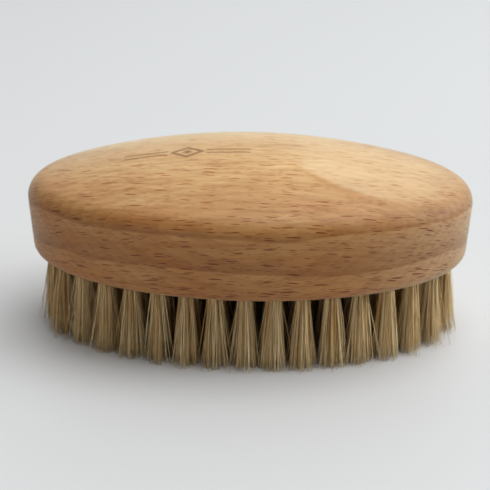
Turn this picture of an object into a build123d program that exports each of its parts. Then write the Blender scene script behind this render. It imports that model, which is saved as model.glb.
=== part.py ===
from build123d import *

import math
import os

# Palm-held beard brush, in millimetres.
# A one-piece beech stock with a domed back is drilled from below. Each blind hole holds one
# tuft: a bundle of bristles folded over a flat wire anchor that bites into the hole's wall.
# The origin is under the middle of the stock, in the plane of the bristle tips.
# X runs along the stock, Y across it, and Z points up to the domed back.

# Stock
stock_length = 110.0
stock_width = 60.0
bristle_length = 18.7       # from the underside to the tips
wall_height = 16.4          # from the underside to the widest level
crown_rise = 11.7           # from the widest level to the top of the dome
wall_lean = 2.9             # degrees, the wall draws in towards the underside
dome_drop_length = 9.1      # how far the dome falls from its middle to each end
dome_drop_width = 8.6       # how far the dome falls from its middle to each side
rim_radius = 5.4            # round between the wall and the dome
base_radius = 3.2           # round between the wall and the underside

# Tuft layout: concentric ovals of holes around one straight row
outer_oval_length = 98.8
outer_oval_width = 46.8
oval_spacing = 7.8
oval_counts = {"outer_oval": 34, "second_oval": 28, "third_oval": 20}
row_name = "centre_row"
row_count = 7
row_pitch = 6.95

# Drilled holes
hole_diameter = 4.2
drill_depth = 7.4           # straight part
drill_point_angle = 118.0   # included angle of the drill's point

# Tufts
plug_diameter = 4.1         # where the hole grips the bundle
tip_diameter = 5.8          # the bundle splays on its way to the tips
fold_depth = 6.8            # how deep the fold of the bundle lies
fold_radius = 1.4
tip_radius = 0.5

# Flat wire anchors
anchor_length = 5.0         # longer than the hole is wide, so that both ends bite
anchor_height = 1.8
anchor_thickness = 0.4
anchor_depth = 4.0          # from the underside to the anchor's near edge
slit_clearance = 0.03       # all round the anchor, in the stock and in the fold

# Levels that follow from the sizes above
underside_z = bristle_length
widest_z = underside_z + wall_height
crown_z = widest_z + crown_rise
anchor_z = underside_z + anchor_depth
fold_z = underside_z + fold_depth


def outline_at(level):
    """Half length and half width of the leaning wall at a level."""
    growth = (level - widest_z) * math.tan(math.radians(wall_lean))
    return stock_length / 2 + growth, stock_width / 2 + growth


def radius_of_arc(half_span, drop):
    """Radius of an arc that falls by drop over half_span."""
    return (half_span**2 + drop**2) / (2 * drop)


def oval_spots(inset, count):
    """Evenly spaced places on an oval, the first at the middle of the near long side."""
    with BuildLine() as oval:
        EllipticalCenterArc(
            (0, 0),
            outer_oval_length / 2 - inset,
            outer_oval_width / 2 - inset,
            start_angle=-90,
            arc_size=360,
        )
    return oval.edge().positions([step / count for step in range(count)])


def row_spots(count, pitch):
    """Places of a straight row along X, centred on the origin."""
    return [Vector((step - (count - 1) / 2) * pitch, 0) for step in range(count)]


def anchor_plan(clearance):
    """Plan of one anchor in the sketch that is open, grown by a clearance all round."""
    Rectangle(anchor_length + 2 * clearance, anchor_thickness + 2 * clearance)


tuft_spots = {
    name: oval_spots(order * oval_spacing, count)
    for order, (name, count) in enumerate(oval_counts.items())
}
tuft_spots[row_name] = row_spots(row_count, row_pitch)
all_spots = [spot for spots in tuft_spots.values() for spot in spots]
slit_z = anchor_z - slit_clearance
slit_height = anchor_height + 2 * slit_clearance

# Barrel whose skin is the domed back: a long arc turned about an axis that runs along X
dome_radius_length = radius_of_arc(stock_length / 2, dome_drop_length)
dome_radius_width = radius_of_arc(stock_width / 2, dome_drop_width)
barrel_axis_z = crown_z - dome_radius_width
barrel_half_length = stock_length / 2 + rim_radius
barrel_end_z = (
    crown_z - dome_radius_length + math.sqrt(dome_radius_length**2 - barrel_half_length**2)
)

with BuildPart() as dome_barrel:
    with BuildSketch(Plane.XZ):
        with BuildLine():
            skin = ThreePointArc(
                (-barrel_half_length, barrel_end_z),
                (0, crown_z),
                (barrel_half_length, barrel_end_z),
            )
            Polyline(
                skin @ 1,
                (barrel_half_length, barrel_axis_z),
                (-barrel_half_length, barrel_axis_z),
                skin @ 0,
            )
        make_face()
    revolve(axis=Axis((0, 0, barrel_axis_z), (1, 0, 0)))

# Beech stock: an oval block with leaning walls, domed, rounded, and drilled from below
with BuildPart() as beech_stock:
    for level in (underside_z, crown_z):
        with BuildSketch(Plane.XY.offset(level)):
            Ellipse(*outline_at(level))
    loft()
    add(dome_barrel.part, mode=Mode.INTERSECT)
    fillet(beech_stock.faces().sort_by(Axis.Z)[-1].edges(), rim_radius)
    fillet(beech_stock.faces().sort_by(Axis.Z)[0].edges(), base_radius)

    with BuildSketch(Plane.XY.offset(underside_z)):
        with Locations(all_spots):
            Circle(hole_diameter / 2)
    extrude(amount=drill_depth, mode=Mode.SUBTRACT)

    drill_point_height = hole_diameter / 2 / math.tan(math.radians(drill_point_angle / 2))
    with Locations([spot + Vector(0, 0, underside_z + drill_depth) for spot in all_spots]):
        Cone(
            hole_diameter / 2,
            0,
            drill_point_height,
            align=(Align.CENTER, Align.CENTER, Align.MIN),
            mode=Mode.SUBTRACT,
        )

    with BuildSketch(Plane.XY.offset(slit_z)):
        with Locations(all_spots):
            anchor_plan(slit_clearance)
    extrude(amount=slit_height, mode=Mode.SUBTRACT)

# One tuft: a round plug with the fold at its inner end, splaying from the underside to the tips
with BuildPart() as tuft:
    with BuildSketch(Plane.XZ) as tuft_half:
        with BuildLine():
            Polyline(
                (0, 0),
                (tip_diameter / 2, 0),
                (plug_diameter / 2, underside_z),
                (plug_diameter / 2, fold_z),
                (0, fold_z),
                close=True,
            )
        make_face()
        fillet(tuft_half.vertices().group_by(Axis.Y)[0].sort_by(Axis.X)[-1], tip_radius)
        fillet(tuft_half.vertices().group_by(Axis.Y)[-1].sort_by(Axis.X)[-1], fold_radius)
    revolve(axis=Axis.Z)
    with BuildSketch(Plane.XY.offset(slit_z)):
        anchor_plan(slit_clearance)
    extrude(amount=slit_height, mode=Mode.SUBTRACT)

# One anchor: a short length of flat wire
with BuildPart() as anchor:
    with BuildSketch(Plane.XY.offset(anchor_z)):
        anchor_plan(0)
    extrude(amount=anchor_height)

os.makedirs("parts", exist_ok=True)

beech_stock.part.label = "beech_stock"
export_step(beech_stock.part, "parts/beech_stock.step")

for name, spots in tuft_spots.items():
    with BuildPart() as tuft_group:
        with Locations(spots):
            add(tuft.part)
    tuft_group.part.label = f"tufts_{name}"
    export_step(tuft_group.part, f"parts/tufts_{name}.step")

    with BuildPart() as anchor_group:
        with Locations(spots):
            add(anchor.part)
    anchor_group.part.label = f"anchors_{name}"
    export_step(anchor_group.part, f"parts/anchors_{name}.step")
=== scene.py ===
import math

import bpy
import numpy as np
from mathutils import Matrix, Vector


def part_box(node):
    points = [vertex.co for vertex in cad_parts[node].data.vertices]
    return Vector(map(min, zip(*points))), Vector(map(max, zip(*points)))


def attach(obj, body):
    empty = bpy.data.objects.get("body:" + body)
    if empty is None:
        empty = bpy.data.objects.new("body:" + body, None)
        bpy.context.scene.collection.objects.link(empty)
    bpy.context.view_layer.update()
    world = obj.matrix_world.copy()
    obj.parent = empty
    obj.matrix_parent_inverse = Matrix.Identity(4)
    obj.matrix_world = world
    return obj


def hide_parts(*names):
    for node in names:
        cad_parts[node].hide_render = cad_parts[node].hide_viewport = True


MM = 0.001
SEED = 1907
STOCK = "beech_stock"
TUFT_NODES = ["tufts_outer_oval", "tufts_second_oval", "tufts_third_oval", "tufts_centre_row"]
ANCHOR_NODES = [name.replace("tufts", "anchors") for name in TUFT_NODES]

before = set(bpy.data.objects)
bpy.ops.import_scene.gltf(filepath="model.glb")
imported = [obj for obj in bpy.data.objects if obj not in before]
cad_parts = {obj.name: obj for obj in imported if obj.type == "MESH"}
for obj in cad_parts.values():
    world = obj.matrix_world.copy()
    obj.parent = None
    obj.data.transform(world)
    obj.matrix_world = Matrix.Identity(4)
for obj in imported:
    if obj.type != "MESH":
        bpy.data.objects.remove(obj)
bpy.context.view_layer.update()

stock_low, stock_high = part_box(STOCK)
underside = stock_low.z
half_length = stock_high.x
half_width = stock_high.y


# ---------------------------------------------------------------- node graphs


class Graph:
    """A material's node tree, built by short calls that return output sockets."""

    def __init__(self, name):
        self.material = bpy.data.materials.new(name)
        self.material.use_nodes = True
        self.tree = self.material.node_tree
        self.shader = self.tree.nodes["Principled BSDF"]

    def node(self, kind, **settings):
        made = self.tree.nodes.new(kind)
        for key, value in settings.items():
            setattr(made, key, value)
        return made

    def feed(self, socket, value):
        if isinstance(value, bpy.types.NodeSocket):
            self.tree.links.new(value, socket)
        else:
            socket.default_value = value

    def surface(self, **values):
        """Feeds inputs of the shader, whose names have underscores here for spaces."""
        for name, value in values.items():
            self.feed(self.shader.inputs[name.replace("_", " ")], value)

    def math(self, operation, first, second=0.0, third=0.0):
        made = self.node("ShaderNodeMath", operation=operation)
        for socket, value in zip(made.inputs, (first, second, third)):
            self.feed(socket, value)
        return made.outputs[0]

    def times(self, first, second):
        return self.math("MULTIPLY", first, second)

    def linear(self, value, slope, start):
        return self.math("MULTIPLY_ADD", value, slope, start)

    def off(self, value, middle):
        """How far a value is from its middle."""
        return self.math("ABSOLUTE", self.math("SUBTRACT", value, middle))

    def ramp(self, value, low, high):
        """0 at low, 1 at high, with a smooth step between."""
        made = self.node("ShaderNodeMapRange", interpolation_type="SMOOTHSTEP")
        self.feed(made.inputs["Value"], value)
        self.feed(made.inputs["From Min"], low)
        self.feed(made.inputs["From Max"], high)
        return made.outputs["Result"]

    def mix(self, share, first, second, blend="MIX"):
        made = self.node("ShaderNodeMix", data_type="RGBA", blend_type=blend)
        self.feed(made.inputs[0], share)
        self.feed(made.inputs[6], first)
        self.feed(made.inputs[7], second)
        return made.outputs[2]

    def vector(self, operation, first, second):
        made = self.node("ShaderNodeVectorMath", operation=operation)
        self.feed(made.inputs[0], first)
        self.feed(made.inputs[1], second)
        return made.outputs[0]

    def parts(self, place):
        """The x, y and z of a place."""
        made = self.node("ShaderNodeSeparateXYZ")
        self.feed(made.inputs[0], place)
        return made.outputs[0], made.outputs[1], made.outputs[2]

    def joined(self, *values):
        """A place from its x, y and z."""
        made = self.node("ShaderNodeCombineXYZ")
        for socket, value in zip(made.inputs, values):
            self.feed(socket, value)
        return made.outputs[0]

    def object_mm(self):
        """Place in the object's own space, in millimetres."""
        place = self.node("ShaderNodeTexCoord").outputs["Object"]
        return self.vector("MULTIPLY", place, [1 / MM] * 3)

    def noise(self, place, cycles, detail, roughness=0.5):
        """Noise with its own number of cycles along each axis, per unit of the place."""
        made = self.node("ShaderNodeTexNoise")
        self.feed(made.inputs["Vector"], self.vector("MULTIPLY", place, cycles))
        made.inputs["Scale"].default_value = 1.0
        made.inputs["Detail"].default_value = detail
        made.inputs["Roughness"].default_value = roughness
        return made.outputs["Fac"]

    def cells(self, place):
        """Distance to the middle of the nearest cell, and a random colour for each cell."""
        made = self.node("ShaderNodeTexVoronoi", voronoi_dimensions="3D", feature="F1")
        self.feed(made.inputs["Vector"], place)
        made.inputs["Scale"].default_value = 1.0
        return made.outputs["Distance"], made.outputs["Color"]

    def bump(self, height, distance, strength=1.0, under=None):
        made = self.node("ShaderNodeBump")
        made.inputs["Strength"].default_value = strength
        made.inputs["Distance"].default_value = distance
        self.feed(made.inputs["Height"], height)
        if under is not None:
            self.feed(made.inputs["Normal"], under)
        return made.outputs["Normal"]


def colour(red, green, blue):
    """A display colour from 0 to 255 as the linear colour a shader takes."""
    linear = []
    for value in (red, green, blue):
        share = value / 255
        linear.append(share / 12.92 if share <= 0.04045 else ((share + 0.055) / 1.055) ** 2.4)
    return (*linear, 1.0)


def set_material(piece, material):
    piece.data.materials.clear()
    piece.data.materials.append(material)


# ---------------------------------------------------------------- beech
# Lengths and levels are in millimetres. X runs along the brush and its grain, Y to its back.

PITH_Y, PITH_Z = 60.0, -8.0         # the line that the rays fan out from
FAN_RADIUS = 70.0           # where one millimetre across the fan is a true millimetre
FAN_WAVER = 0.9             # how far a ray sheet wanders sideways

LAYER_THICKNESS = 9.0       # of one year's growth, where it lies flat
LAYER_START = 35.9          # level of one boundary between two years
LAYER_TILT = 0.10           # rise towards the front of the brush, per millimetre
LAYER_DRIFT = 6.0           # how far a layer wanders from flat
CROWN_FADE = 0.6            # above the uppermost boundary the layers fade out over this
RING_SPACING = 1.5          # of the fainter rings round the pith
RING_DRIFT = 5.0            # how far a ring wanders from round
LATE_WOOD_POWER = 1.6       # how slowly a year's wood turns dark
LATE_WOOD_END = 0.93        # share of a year at which the dark wood breaks off

# The pale seam's edge is the curve y = start - slope * x + curve * x * x.
SEAM_START, SEAM_SLOPE, SEAM_CURVE = 4.36, 1.377, 0.0220
SEAM_EDGE = (-0.7, 1.1)     # the seam comes up between these distances behind that curve
SEAM_WIDTH = 42.0           # and is gone again at this one
SEAM_ALONG = (7.0, 18.0)    # it starts between these x
SEAM_LEVEL = (37.0, 43.0)   # and between these levels
SEAM_LINE_AHEAD = 1.2       # the thin dark line lies this far in front of the curve
SEAM_LINE_HALF = 1.1        # half its width

ORNAMENT_X, ORNAMENT_Y = -15.0, -2.5        # its middle
LOZENGE_X, LOZENGE_Y = 3.6, 2.6     # half its length and half its width
LOZENGE_LINE = (0.26, 0.14)         # half its line, as shares of its size: outer and full
LOZENGE_HEART = (0.42, 0.30)        # the filled middle, as shares of its size
RULE_HALF = 15.5            # half the length of the two rules
RULE_GAP = 0.9              # from the middle line to each rule
RULE_LINE = (0.36, 0.20)    # half a rule's width: outer and full
RULE_CLEAR = 1.0            # from the lozenge to the rules
RULE_SOFT = 0.2             # over which a rule's ends fade
DOME_ONLY = 40.0            # the ornament is only on surfaces above this level

# Cycles per millimetre of each figure in the wood, along x, y and z, or along the fan.
LAYER_FIGURE = (0.020, 0.045, 0.045)
RING_FIGURE = (0.03, 0.06, 0.06)
WARM_FIGURE = (0.035, 0.12, 0.17)
WAVER_FIGURE = (0.13, 0.22, 0.22)
TONE_FIGURE = (0.025, 0.12, 0.05)
PATCH_FIGURE = (0.07, 0.30, 0.10)
STREAK_FIGURE = (0.06, 0.9, 0.08)
FIBRE_FIGURE = (0.14, 1.7, 0.22)
FIBRE_ROUGHNESS = 0.6       # of the fibre noise

# Levels of a noise between which each figure sets in.
TONE_RANGE = (0.30, 0.70)
PATCH_RANGE = (0.45, 0.70)
WARM_RANGE = (0.46, 0.66)
STREAK_RANGE = (0.42, 0.70)
FIBRE_RANGE = (0.40, 0.68)

WALL_RANGE = (48.0, 31.0)   # levels between which the wood turns darker downwards: partly redder late wood, partly painted shade
BACK_SHEEN_RANGE = (-7.0, 14.0)   # y between which the dome is painted paler: a painted sheen, the reflection of the bright room behind
RIGHT_END_LIGHT_RANGE = (16.0, 48.0)    # x between which the right end of the wall is painted paler and greyer: painted light from the window on the right

# Ray flecks: cell size, shift of the cells, share of them left empty, least and most reach as
# shares of a cell, and strength.
FLECK_KINDS = (
    ((6.2, 0.42, 4.6), (0, 0, 0), 0.50, (0.21, 0.34), 1.0),
    ((4.8, 0.36, 4.0), (31, 9, 7), 0.42, (0.21, 0.33), 0.75),
    ((2.6, 0.26, 3.0), (17, 5, 3), 0.30, (0.21, 0.34), 0.48),
)
FLECK_EDGE = (-0.02, 0.10)  # how softly a fleck ends, as shares of a cell
SEAM_FLECK_LOSS = 0.45      # how much fainter the flecks are on the pale seam

# Tones, each with the strength at which it is mixed in.
PALE_TONE, TAN_TONE = colour(227, 188, 132), colour(211, 163, 105)
PATCH_TONE = colour(220, 168, 108), 0.35
# The wall tone is partly the redder late wood low in the stock and partly painted shade of the
# wall.
WALL_SHADE_TONE = colour(180, 122, 60), 0.84
# The back tone is a painted sheen: the pale reflection of the bright room behind the dome.
BACK_SHEEN_TONE = colour(250, 228, 180), 0.30
WARM_TONE = colour(186, 112, 40), 0.45
# The end tone is painted light: the right end of the wall, paler and greyer where the window
# lights it.
RIGHT_END_LIGHT_TONE = colour(196, 162, 122), 0.58
SEAM_TONE = colour(246, 220, 180), 0.31
BURNT_TONE = colour(132, 84, 0), 0.92

# Filters, which multiply the tone under them, each with its strength.
STREAK_FILTER = (0.78, 0.68, 0.54, 1.0), 0.40
FIBRE_FILTER = (0.74, 0.62, 0.46, 1.0), 0.58
LAYER_FILTER = (0.70, 0.58, 0.43, 1.0), 1.0
RING_FILTER = (0.74, 0.66, 0.56, 1.0), 0.45
SEAM_LINE_FILTER = (0.80, 0.62, 0.42, 1.0), 0.35
DOME_FLECK_FILTER = (0.69, 0.38, 0.02, 1.0)
WALL_FLECK_FILTER = (0.40, 0.15, 0.01, 1.0)

WOOD_ROUGHNESS, FIBRE_ROUGHER = 0.42, 0.16      # between fibres, and what a fibre adds
FIBRE_BUMP, FLECK_BUMP = 0.05 * MM, 0.02 * MM       # depths
WOOD_BUMP_STRENGTH = 0.5


def fan_place(graph, place):
    """Place as distance along the grain, distance across the ray sheets, and distance from
    the pith."""
    x, y, z = graph.parts(place)
    inward = graph.math("SUBTRACT", PITH_Y, y)
    upward = graph.math("SUBTRACT", z, PITH_Z)
    angle = graph.math("ARCTAN2", upward, inward)
    span = graph.math("ADD", graph.times(inward, inward), graph.times(upward, upward))
    waver = graph.noise(place, WAVER_FIGURE, detail=1.0)
    across = graph.linear(waver, FAN_WAVER, graph.times(angle, FAN_RADIUS))
    return graph.joined(x, across, graph.math("SQRT", span))


def ray_flecks(graph, fan, cell, shift, empty, reach_range, strength):
    """Lens-shaped marks that run along the grain: one per cell, apart from the empty cells."""
    moved = graph.vector("ADD", fan, shift)
    distance, random = graph.cells(graph.vector("MULTIPLY", moved, [1 / side for side in cell]))
    parts = graph.node("ShaderNodeSeparateColor")
    graph.feed(parts.inputs[0], random)
    least, most = reach_range
    reach = graph.linear(parts.outputs[1], most - least, least)
    inside = graph.ramp(graph.math("SUBTRACT", reach, distance), *FLECK_EDGE)
    kept = graph.math("GREATER_THAN", parts.outputs[0], empty)
    return graph.times(graph.times(inside, kept), strength)


def sawtooth(graph, value, period):
    """A share that climbs slowly over each period, and falls back quickly at its end."""
    phase = graph.math("FRACT", graph.math("DIVIDE", value, period))
    climb = graph.math("POWER", phase, LATE_WOOD_POWER)
    return graph.times(climb, graph.ramp(phase, 1.0, LATE_WOOD_END))


def growth_layers(graph, place):
    """The broad bands of the year's growth: 0 in pale early wood, 1 in late wood."""
    _, y, z = graph.parts(place)
    drift = graph.noise(place, LAYER_FIGURE, detail=1.5)
    level = graph.linear(drift, LAYER_DRIFT, graph.linear(y, LAYER_TILT, z))
    shade = sawtooth(graph, graph.math("SUBTRACT", LAYER_START, level), LAYER_THICKNESS)
    crown = LAYER_START + LAYER_THICKNESS
    return graph.times(shade, graph.ramp(level, crown, crown - CROWN_FADE))


def growth_rings(graph, place, fan):
    """The fine rings round the pith, which show as arcs at the ends of the brush."""
    _, _, radius = graph.parts(fan)
    drift = graph.noise(place, RING_FIGURE, detail=2.0)
    return sawtooth(graph, graph.linear(drift, RING_DRIFT, radius), RING_SPACING)


def pale_seam(graph, place):
    """A pale stretch on the right of the dome, and a thin darker line in front of it."""
    x, y, z = graph.parts(place)
    bend = graph.linear(x, -SEAM_CURVE, SEAM_SLOPE)
    behind = graph.math("SUBTRACT", graph.linear(x, bend, y), SEAM_START)
    edge = graph.ramp(behind, *SEAM_EDGE)
    fading = graph.ramp(behind, SEAM_WIDTH, 0.0)
    onset = graph.times(graph.ramp(x, *SEAM_ALONG), graph.ramp(z, *SEAM_LEVEL))
    line = graph.ramp(graph.off(behind, -SEAM_LINE_AHEAD), SEAM_LINE_HALF, 0.0)
    return graph.times(onset, graph.times(edge, fading)), graph.times(onset, line)


def burnt_ornament(graph, place):
    """A lozenge between two pairs of short rules, burnt into the dome."""
    x, y, z = graph.parts(place)
    aside = graph.off(x, ORNAMENT_X)
    ahead = graph.off(y, ORNAMENT_Y)
    spread = graph.math("ADD", graph.math("DIVIDE", aside, LOZENGE_X),
                        graph.math("DIVIDE", ahead, LOZENGE_Y))
    outline = graph.ramp(graph.off(spread, 1.0), *LOZENGE_LINE)
    heart = graph.ramp(spread, *LOZENGE_HEART)
    line = graph.ramp(graph.off(ahead, RULE_GAP), *RULE_LINE)
    start = LOZENGE_X + RULE_CLEAR
    clear = graph.ramp(aside, start, start + RULE_SOFT)
    within = graph.ramp(aside, RULE_HALF, RULE_HALF - RULE_SOFT)
    rules = graph.times(line, graph.times(clear, within))
    drawn = graph.math("MAXIMUM", rules, graph.math("MAXIMUM", outline, heart))
    return graph.times(drawn, graph.math("GREATER_THAN", z, DOME_ONLY))


def tinted(graph, base, share, tone, blend="MIX"):
    """The base with a tone or filter mixed in where the share is high."""
    shade, strength = tone
    return graph.mix(graph.times(share, strength), base, shade, blend)


def filtered(graph, base, share, tone):
    return tinted(graph, base, share, tone, "MULTIPLY")


def beech_material():
    """Oiled beech: broad tones, fine fibres, growth layers and rings, and dark ray flecks, with
    painted shade on the wall, a painted sheen at the back of the dome and painted light on the
    wall's right end.
    """
    graph = Graph("oiled_beech")
    place = graph.object_mm()
    fan = fan_place(graph, place)
    x, y, z = graph.parts(place)
    wall = graph.ramp(z, *WALL_RANGE)
    dome = graph.math("SUBTRACT", 1.0, wall)

    tone = graph.ramp(graph.noise(fan, TONE_FIGURE, detail=3.0), *TONE_RANGE)
    patches = graph.ramp(graph.noise(fan, PATCH_FIGURE, detail=2.0), *PATCH_RANGE)
    warm = graph.ramp(graph.noise(place, WARM_FIGURE, detail=2.0), *WARM_RANGE)
    streaks = graph.ramp(graph.noise(fan, STREAK_FIGURE, detail=3.0), *STREAK_RANGE)
    fibre = graph.noise(fan, FIBRE_FIGURE, detail=4.0, roughness=FIBRE_ROUGHNESS)
    flecks = 0.0
    for kind in FLECK_KINDS:
        flecks = graph.math("MAXIMUM", flecks, ray_flecks(graph, fan, *kind))
    seam, seam_line = pale_seam(graph, place)

    base = graph.mix(tone, PALE_TONE, TAN_TONE)
    base = tinted(graph, base, patches, PATCH_TONE)
    # Painted shade on the wall, partly its redder late wood.
    base = tinted(graph, base, wall, WALL_SHADE_TONE)
    # Painted sheen towards the back of the dome.
    base = tinted(graph, base, graph.times(graph.ramp(y, *BACK_SHEEN_RANGE), dome), BACK_SHEEN_TONE)
    base = tinted(graph, base, graph.times(warm, wall), WARM_TONE)
    # Painted light from the window on the right end of the wall.
    base = tinted(graph, base, graph.times(graph.ramp(x, *RIGHT_END_LIGHT_RANGE), wall), RIGHT_END_LIGHT_TONE)
    base = filtered(graph, base, streaks, STREAK_FILTER)
    base = filtered(graph, base, graph.ramp(fibre, *FIBRE_RANGE), FIBRE_FILTER)
    base = filtered(graph, base, growth_layers(graph, place), LAYER_FILTER)
    base = filtered(graph, base, growth_rings(graph, place, fan), RING_FILTER)
    base = tinted(graph, base, seam, SEAM_TONE)
    base = filtered(graph, base, seam_line, SEAM_LINE_FILTER)
    fleck_filter = graph.mix(wall, DOME_FLECK_FILTER, WALL_FLECK_FILTER)
    fleck_share = graph.times(flecks, graph.linear(seam, -SEAM_FLECK_LOSS, 1.0))
    base = graph.mix(fleck_share, base, fleck_filter, "MULTIPLY")
    base = tinted(graph, base, burnt_ornament(graph, place), BURNT_TONE)

    grain = graph.bump(fibre, FIBRE_BUMP, WOOD_BUMP_STRENGTH)
    pitted = graph.bump(graph.math("SUBTRACT", 1.0, flecks), FLECK_BUMP, WOOD_BUMP_STRENGTH, grain)
    graph.surface(Base_Color=base, Normal=pitted, Specular_IOR_Level=0.38,
                  Roughness=graph.linear(fibre, FIBRE_ROUGHER, WOOD_ROUGHNESS),
                  Sheen_Weight=0.32, Sheen_Roughness=0.40, Sheen_Tint=(0.84, 1.0, 0.86, 1.0))
    return graph.material


# ---------------------------------------------------------------- bristle and wire materials

TONES = 64                  # how many strand tones the material holds
TONE_SPREAD = (0.15, 0.95)  # random values between which a strand goes from pale to dark
PALE_STRAND = colour(249, 222, 168), colour(250, 229, 180)      # at its root and at its tip
DARK_STRAND = colour(200, 150, 84), colour(212, 168, 100)
BROWN_STREAK = colour(160, 122, 74), 0.4
STRAND_STREAKS = 3.0        # cycles of streaking from root to tip
STRAND_STREAK_RANGE = (0.45, 0.75)
BLACK_STRAND = colour(58, 50, 46)       # the first tone, number 0
FIRST_TONE_END = 0.5        # its number lies below this, and all others above
STRAND_ROUGHNESS, STREAK_ROUGHER = 0.34, 0.25       # between streaks, and what a streak adds

WIRE_TONES = colour(196, 190, 178), colour(160, 155, 146)
WIRE_FIGURE = (0.4, 9.0, 9.0)       # cycles per millimetre of the drawing lines
WIRE_ROUGHNESS, LINE_ROUGHER = 0.25, 0.2        # between lines, and what a line adds
WIRE_BUMP = 0.01 * MM


def bristle_material():
    """Natural bristle: each strand has its own tone, and is a little paler at its tip.
    U of the strand map picks the strand's tone, and V runs from its root to its tip."""
    graph = Graph("natural_bristle")
    u, along, _ = graph.parts(graph.node("ShaderNodeUVMap", uv_map="OFBake").outputs["UV"])
    strand = graph.math("FLOOR", graph.times(u, TONES))
    tone = graph.node("ShaderNodeTexWhiteNoise", noise_dimensions="1D")
    graph.feed(tone.inputs["W"], strand)
    streak = graph.noise(graph.joined(strand, along), (1.0, STRAND_STREAKS, 1.0), detail=2.0)

    pale = graph.mix(along, *PALE_STRAND)
    dark = graph.mix(along, *DARK_STRAND)
    base = graph.mix(graph.ramp(tone.outputs["Value"], *TONE_SPREAD), pale, dark)
    base = tinted(graph, base, graph.ramp(streak, *STRAND_STREAK_RANGE), BROWN_STREAK)
    first = graph.math("LESS_THAN", strand, FIRST_TONE_END)
    base = graph.mix(first, base, BLACK_STRAND)
    graph.surface(Base_Color=base, Specular_IOR_Level=0.28,
                  Roughness=graph.linear(streak, STREAK_ROUGHER, STRAND_ROUGHNESS))
    return graph.material


def anchor_material():
    """Drawn flat wire: bright metal with fine lines along its length."""
    graph = Graph("drawn_flat_wire")
    lines = graph.noise(graph.object_mm(), WIRE_FIGURE, detail=3.0)
    graph.surface(Base_Color=graph.mix(lines, *WIRE_TONES), Metallic=1.0,
                  Roughness=graph.linear(lines, LINE_ROUGHER, WIRE_ROUGHNESS),
                  Normal=graph.bump(lines, WIRE_BUMP))
    return graph.material


# ---------------------------------------------------------------- bristles

STRANDS = 170               # bristles in a tuft
SIDES = 3                   # a bristle is a three-sided rod at this scale
RINGS = 6                   # cross-sections from root to tip
ROOT_RADIUS = 1.58 * MM     # of the bundle, where it leaves its hole
SPLAY = 3.25 * MM           # of the bundle, at its tips
SPLAY_SPREAD = 0.30         # how much that differs between bristles
ROOT_INSET = 1.2 * MM       # how far into its hole a bristle starts
BEND_POWER = 1.12           # how a bristle's way outwards grows from its root to its tip
THICKNESS = 0.12 * MM       # bristle radius at the root
THICKNESS_SPREAD = 0.14     # how much that differs between bristles
TIP_SHARE = 0.45            # of that radius, left at the tip
TAPER_POWER = 1.5           # how late along a bristle it thins

WILD_SHARE = 0.08           # of the bristles stick out further than the rest
WILD_REACH = (0.6 * MM, 2.3 * MM)
STRAY = 0.26 * MM           # spread of the tips
BOW = 0.22 * MM             # spread of the bristles' middles
UNEVEN = 0.20 * MM          # spread of the bristles' lengths
SHORT_SHARE = 0.05          # of the bristles are clearly shorter
SHORT_MOST = 2.0 * MM
BLACK_SHARE = 0.002         # of the bristles are nearly black

OUTER_LEAN = (0.5 * MM, 1.7 * MM)   # how far the tips drift outwards, along and across the brush
INNER_LEAN = (0.2 * MM, 0.2 * MM)
LEAN_SPREAD = 0.12 * MM     # how much that differs between tufts

FACE_DEPTH = 0.01 * MM      # points of the tip faces lie within this of the lowest point
TIP_LINK = 1.2 * MM         # neighbouring points of one tip face lie closer together than this
TIP_REACH = 5.2 * MM        # and all of them lie this close to each other
PLAN_DIGITS = 6             # decimals of a metre that tell two points apart
NOT_ZERO = 1e-9             # keeps the tuft in the very middle from dividing by zero

STRIP_START, STRIP_USED = 0.2, 0.6      # part of a tone's strip of the strand map in use
MAP_MARGIN = 0.01           # left free at the root and tip ends of the strand map


def tuft_spots(node):
    """Centres of a node's tufts, read from the flat faces at their tips."""
    points = np.array([vertex.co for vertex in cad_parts[node].data.vertices])
    lowest = points[:, 2].min()
    tips = points[points[:, 2] < lowest + FACE_DEPTH]
    rim = np.unique(np.round(tips[:, :2], PLAN_DIGITS), axis=0)
    spots = []
    while len(rim):
        near = np.linalg.norm(rim - rim[0], axis=1) < TIP_REACH
        nearby = rim[near]
        joined = np.zeros(len(nearby), bool)
        joined[0] = True
        count = 0
        while joined.sum() > count:
            count = joined.sum()
            gaps = np.linalg.norm(nearby[:, None] - nearby[joined][None], axis=2).min(1)
            joined = gaps < TIP_LINK
        face = nearby[joined]
        spots.append((face.min(0) + face.max(0)) / 2)
        keep = np.ones(len(rim), bool)
        keep[np.flatnonzero(near)[joined]] = False
        rim = rim[keep]
    return np.array(sorted(map(tuple, spots)))


def bristle_paths(spot, lean, chance):
    """Centre lines of one tuft's bristles, as an array of strand, ring, xyz."""
    angle = chance.uniform(0, 2 * math.pi, STRANDS)
    share = np.sqrt(chance.uniform(0, 1, STRANDS))
    outward = np.stack([np.cos(angle), np.sin(angle)], 1)
    root = spot + outward * (share * ROOT_RADIUS)[:, None]

    wild = chance.uniform(0, 1, STRANDS) < WILD_SHARE
    reach = share * (SPLAY - ROOT_RADIUS) * chance.normal(1.0, SPLAY_SPREAD, STRANDS)
    reach = reach + wild * chance.uniform(*WILD_REACH, STRANDS)
    stray = chance.normal(0, STRAY, (STRANDS, 2))
    shift = outward * reach[:, None] + stray + lean
    bow = chance.normal(0, BOW, (STRANDS, 2))

    short = np.abs(chance.normal(0, UNEVEN, STRANDS))
    clipped = chance.uniform(0, 1, STRANDS) < SHORT_SHARE
    short = short + clipped * chance.uniform(0, SHORT_MOST, STRANDS)
    along = np.linspace(0, 1, RINGS)
    top = underside + ROOT_INSET
    height = top + (short[:, None] - top) * along[None]
    free = np.clip((underside - height) / underside, 0, 1)
    plan = (root[:, None] + shift[:, None] * (free**BEND_POWER)[..., None]
            + bow[:, None] * np.sin(math.pi * free)[..., None])
    return np.concatenate([plan, height[..., None]], 2)


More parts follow.
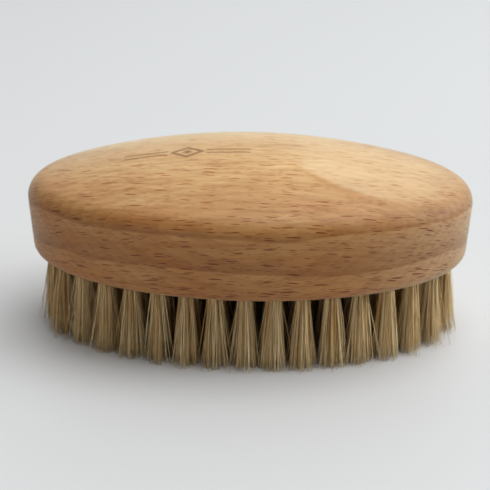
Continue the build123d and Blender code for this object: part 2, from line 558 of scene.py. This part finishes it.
def rod_points(paths, chance):
    """Corners of the rods round the given centre lines: strand, ring, side, xyz."""
    strands = len(paths)
    along = np.linspace(0, 1, RINGS)
    girth = THICKNESS * (1 - (1 - TIP_SHARE) * along**TAPER_POWER)
    girth = girth[None] * chance.normal(1, THICKNESS_SPREAD, strands)[:, None]
    turn = chance.uniform(0, 2 * math.pi, strands)[:, None]
    turn = turn + np.arange(SIDES) * 2 * math.pi / SIDES
    spoke = np.stack([np.cos(turn), np.sin(turn), np.zeros_like(turn)], 2)
    return paths[:, :, None] + spoke[:, None] * girth[:, :, None, None]


def rod_faces(strands):
    """Walls and both end faces of the rods."""
    index = np.arange(strands * RINGS * SIDES).reshape(strands, RINGS, SIDES)
    following = np.roll(index, -1, axis=2)
    walls = np.stack([index[:, :-1], index[:, 1:], following[:, 1:], following[:, :-1]], -1)
    roots = index[:, 0]
    tips = index[:, -1, ::-1]
    return walls.reshape(-1, 4).tolist() + roots.tolist() + tips.tolist()


def strand_map(strands, chance):
    """U and V of every corner: a strand's tone, and how far along it the corner lies."""
    tone = chance.integers(1, TONES, strands)
    tone[chance.uniform(0, 1, strands) < BLACK_SHARE] = 0
    round_it = STRIP_START + STRIP_USED * np.arange(SIDES) / SIDES
    u = (tone[:, None, None] + round_it[None, None]) / TONES
    v = np.linspace(0, 1, RINGS) * (1 - 2 * MAP_MARGIN) + MAP_MARGIN
    shape = (strands, RINGS, SIDES)
    both = [np.broadcast_to(u, shape), np.broadcast_to(v[None, :, None], shape)]
    return np.stack(both, -1).reshape(-1, 2)


def bristle_mesh(name, spots, leans, chance):
    """All tufts of one node as closed rods."""
    paths = np.concatenate([bristle_paths(*place, chance) for place in zip(spots, leans)])
    strands = len(paths)
    points = rod_points(paths, chance)
    mesh = bpy.data.meshes.new(name)
    mesh.from_pydata(points.reshape(-1, 3).tolist(), [], rod_faces(strands))
    mesh.update()
    corners = np.zeros(len(mesh.loops), np.int32)
    mesh.loops.foreach_get("vertex_index", corners)
    layer = mesh.uv_layers.new(name="OFBake")
    place = strand_map(strands, chance)[corners]
    layer.data.foreach_set("uv", place.astype(np.float32).ravel())
    mesh.shade_smooth()
    piece = bpy.data.objects.new(name, mesh)
    bpy.context.scene.collection.objects.link(piece)
    return piece


def outward_lean(spots, most):
    """How far each tuft's tips drift outwards, along and across the brush."""
    normal = spots / np.array([half_length**2, half_width**2])
    normal = normal / np.maximum(np.linalg.norm(normal, axis=1, keepdims=True), NOT_ZERO)
    return normal * np.array(most)


def build_bristles():
    material = bristle_material()
    for order, node in enumerate(TUFT_NODES):
        chance = np.random.default_rng(SEED + order)
        spots = tuft_spots(node)
        most = OUTER_LEAN if order == 0 else INNER_LEAN
        leans = outward_lean(spots, most) + chance.normal(0, LEAN_SPREAD, spots.shape)
        piece = bristle_mesh(node.replace("tufts", "bristles"), spots, leans, chance)
        set_material(piece, material)
        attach(piece, "root")
        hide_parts(node)


# ---------------------------------------------------------------- stage, light and camera

FLOOR_HALF = 3.0
FLOOR_TONE, NO_TONE = colour(211, 211, 211), (0.0, 0.0, 0.0, 1.0)
FLOOR_ROUGHNESS = 0.55
FLOOR_SPECULAR = 0.5
FADE_RANGE = (0.40, 0.85)   # metres out, where the floor melts into the backdrop
BACKDROP = (0.95, 0.98, 1.0, 1.0)
BACKDROP_STRENGTH = 0.75    # what the camera sees past the floor

SKY_TOWARD = (0.20, 0.75, 0.60)     # the studio is brightest this way, behind the brush
SKY_DIM, SKY_BRIGHT = 0.03, 1.00

# Place in metres, width in metres, power in watts and tint of each lamp.
LAMPS = {
    "ceiling": ((0.40, 0.02, 1.42), 1.2, 13.0, (1.0, 1.0, 0.985)),
    "window": ((0.95, 0.00, 0.42), 0.5, 4.4, (0.93, 1.0, 1.06)),
    "front_fill": ((-0.55, -0.95, 0.30), 0.5, 1.4, (1.0, 1.0, 1.0)),
}

VIEW_DISTANCE = 0.300       # from the camera to the middle of the stock's widest level
VIEW_DOWN, VIEW_TURN, VIEW_ROLL = math.radians(25.77), math.radians(-2.36), math.radians(0.30)
VIEW_ASIDE, VIEW_LIFT = -0.99 * MM, -13.41 * MM
WIDEST_LEVEL = 16.4 * MM    # above the underside
SENSOR_MM, LENS_MM = 36.0, 89.0449
F_STOP = 28.0
CLIP_NEAR, CLIP_FAR = 0.01, 20.0


def floor():
    """A plain pale floor. The camera sees it melt into the backdrop well away from the object."""
    mesh = bpy.data.meshes.new("floor")
    signs = [(-1, -1), (1, -1), (1, 1), (-1, 1)]
    corners = [(x * FLOOR_HALF, y * FLOOR_HALF, 0) for x, y in signs]
    mesh.from_pydata(corners, [], [(0, 1, 2, 3)])
    piece = bpy.data.objects.new("floor", mesh)
    bpy.context.scene.collection.objects.link(piece)

    graph = Graph("pale_floor")
    place = graph.node("ShaderNodeTexCoord").outputs["Object"]
    span = graph.node("ShaderNodeVectorMath", operation="LENGTH")
    graph.feed(span.inputs[0], place)
    seen = graph.node("ShaderNodeLightPath").outputs["Is Camera Ray"]
    far = graph.times(graph.ramp(span.outputs["Value"], *FADE_RANGE), seen)
    graph.surface(Base_Color=graph.mix(far, FLOOR_TONE, NO_TONE), Roughness=FLOOR_ROUGHNESS,
                  Specular_IOR_Level=graph.linear(far, -FLOOR_SPECULAR, FLOOR_SPECULAR),
                  Emission_Color=BACKDROP, Emission_Strength=graph.times(far, BACKDROP_STRENGTH))
    set_material(piece, graph.material)


def lamps():
    """Soft studio light: a ceiling, a window on the right, and a weak fill in front."""
    middle = Vector((0, 0, underside))
    for name, (place, width, power, tint) in LAMPS.items():
        lamp = bpy.data.lights.new(name, "AREA")
        lamp.shape = "DISK"
        lamp.size = width
        lamp.energy = power
        lamp.color = tint
        piece = bpy.data.objects.new(name, lamp)
        bpy.context.scene.collection.objects.link(piece)
        piece.location = place
        aim = middle - Vector(place)
        piece.rotation_euler = aim.to_track_quat("-Z", "Y").to_euler()


def studio():
    """A room that is bright behind the brush and dim in front of it. The camera itself sees
    the plain backdrop."""
    world = bpy.data.worlds.new("studio")
    world.use_nodes = True
    tree = world.node_tree
    direction = tree.nodes.new("ShaderNodeTexCoord").outputs["Generated"]
    toward = tree.nodes.new("ShaderNodeVectorMath")
    toward.operation = "DOT_PRODUCT"
    tree.links.new(direction, toward.inputs[0])
    toward.inputs[1].default_value = Vector(SKY_TOWARD).normalized()
    ramp = tree.nodes.new("ShaderNodeMapRange")
    ramp.interpolation_type = "SMOOTHSTEP"
    ramp.inputs["From Min"].default_value = 0.0
    ramp.inputs["From Max"].default_value = 1.0
    ramp.inputs["To Min"].default_value = SKY_DIM
    ramp.inputs["To Max"].default_value = SKY_BRIGHT
    tree.links.new(toward.outputs["Value"], ramp.inputs["Value"])
    seen = tree.nodes.new("ShaderNodeLightPath").outputs["Is Camera Ray"]
    strength = tree.nodes.new("ShaderNodeMix")
    tree.links.new(seen, strength.inputs[0])
    tree.links.new(ramp.outputs["Result"], strength.inputs[2])
    strength.inputs[3].default_value = BACKDROP_STRENGTH
    background = tree.nodes["Background"]
    background.inputs["Color"].default_value = BACKDROP
    tree.links.new(strength.outputs[0], background.inputs["Strength"])
    bpy.context.scene.world = world


def camera():
    """Looks down on the brush from near its front, with a short depth of focus."""
    target = Vector((0, 0, underside + WIDEST_LEVEL))
    right = Vector((math.cos(VIEW_TURN), -math.sin(VIEW_TURN), 0))
    ahead_level = Vector((math.sin(VIEW_TURN), math.cos(VIEW_TURN), 0))
    ahead = ahead_level * math.cos(VIEW_DOWN) - Vector((0, 0, math.sin(VIEW_DOWN)))
    upward = ahead_level * math.sin(VIEW_DOWN) + Vector((0, 0, math.cos(VIEW_DOWN)))

    data = bpy.data.cameras.new("photo_view")
    data.sensor_width = SENSOR_MM
    data.lens = LENS_MM
    data.clip_start, data.clip_end = CLIP_NEAR, CLIP_FAR
    data.dof.use_dof = True
    data.dof.focus_distance = VIEW_DISTANCE - half_width * math.cos(VIEW_DOWN)
    data.dof.aperture_fstop = F_STOP
    piece = bpy.data.objects.new("photo_view", data)
    bpy.context.scene.collection.objects.link(piece)
    piece.location = target - ahead * VIEW_DISTANCE + right * VIEW_ASIDE + upward * VIEW_LIFT
    piece.rotation_euler = ahead.to_track_quat("-Z", "Y").to_euler()
    piece.rotation_euler.rotate_axis("Z", VIEW_ROLL)
    bpy.context.scene.camera = piece


# ---------------------------------------------------------------- build

set_material(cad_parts[STOCK], beech_material())
wire = anchor_material()
for node in ANCHOR_NODES:
    set_material(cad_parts[node], wire)
build_bristles()
floor()
lamps()
studio()
camera()
bpy.context.scene.view_settings.view_transform = "Standard"
